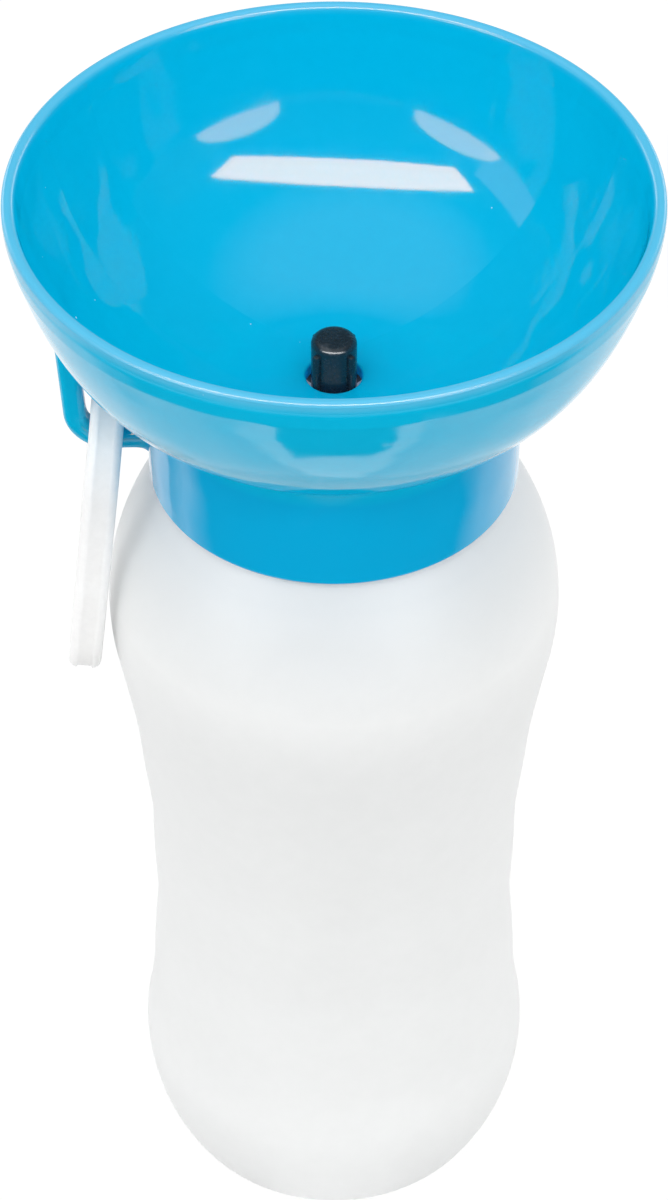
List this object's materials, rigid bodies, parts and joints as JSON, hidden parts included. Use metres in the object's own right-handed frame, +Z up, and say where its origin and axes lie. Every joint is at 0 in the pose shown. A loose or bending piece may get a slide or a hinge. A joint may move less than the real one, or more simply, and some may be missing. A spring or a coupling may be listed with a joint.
{
  "type": "travel water bottle with drinking bowl",
  "caption": "Squeeze water bottle for dogs with a screw-on drinking bowl, a push-down valve in the bowl's floor and a carabiner on a hanging loop.",
  "frame": {"origin": "centre of the bottle's base, on the surface that it stands on", "axes": "+Z up along the bottle, -X towards the hanging loop and carabiner, +Y towards the carabiner's gate"},
  "size_m": [0.098, 0.098, 0.2107],
  "materials": {
    "bottle_soft": "milky translucent soft polyethylene, satin",
    "blue_gloss": "glossy moulded polypropylene",
    "white_natural": "natural white moulded plastic, satin",
    "plug_dark": "near-black moulded plastic, satin",
    "seal_clear": "translucent silicone",
    "seal_dark": "dark rubber",
    "tube_clear": "milky extruded polyethylene",
    "steel_wire": "plain stainless steel"
  },
  "bodies": {
    "bottle": {"bottle": "bottle_soft"},
    "gasket": {"neck_gasket": "seal_clear"},
    "cap": {"screw_collar": "blue_gloss", "drinking_bowl": "blue_gloss", "valve_housing": "white_natural", "housing_seal": "seal_dark", "dip_tube": "tube_clear"},
    "plug": {"valve_plug": "plug_dark", "plug_o_ring": "seal_dark"},
    "carabiner": {"carabiner_body": "white_natural", "gate_pin": "steel_wire", "gate_spring": "steel_wire"},
    "gate": {"carabiner_gate": "white_natural"}
  },
  "joints": [
    {"name": "cap_lift", "type": "slide", "parent": "bottle", "child": "gasket", "axis": [0, 0, 1], "range_m": [0, 0.00601]},
    {"name": "cap_turn", "type": "hinge", "parent": "gasket", "child": "cap", "pos_m": [0, 0, 0.1698], "axis": [0, 0, 1], "range_deg": [0, 540]},
    {"name": "plug_slide", "type": "slide", "parent": "cap", "child": "plug", "axis": [0, 0, 1], "range_m": [-0.0042, 0]},
    {"name": "carabiner_swing", "type": "hinge", "parent": "cap", "child": "carabiner", "pos_m": [-0.03585, 0, 0.16225], "axis": [0.9933, 0, -0.1156], "range_deg": [-35, 35]},
    {"name": "gate_swing", "type": "hinge", "parent": "carabiner", "child": "gate", "pos_m": [-0.03678, 0.0097, 0.1543], "axis": [-0.9933, 0, 0.1156], "range_deg": [0, 30], "stiffness_Nm_per_rad": 0.01, "springref_deg": -20.05, "deforming": ["gate_spring"]}
  ],
  "couplings": [
    {"joint": "cap_lift", "follows": "cap_turn", "m_per_rad": 0.00063662}
  ]
}
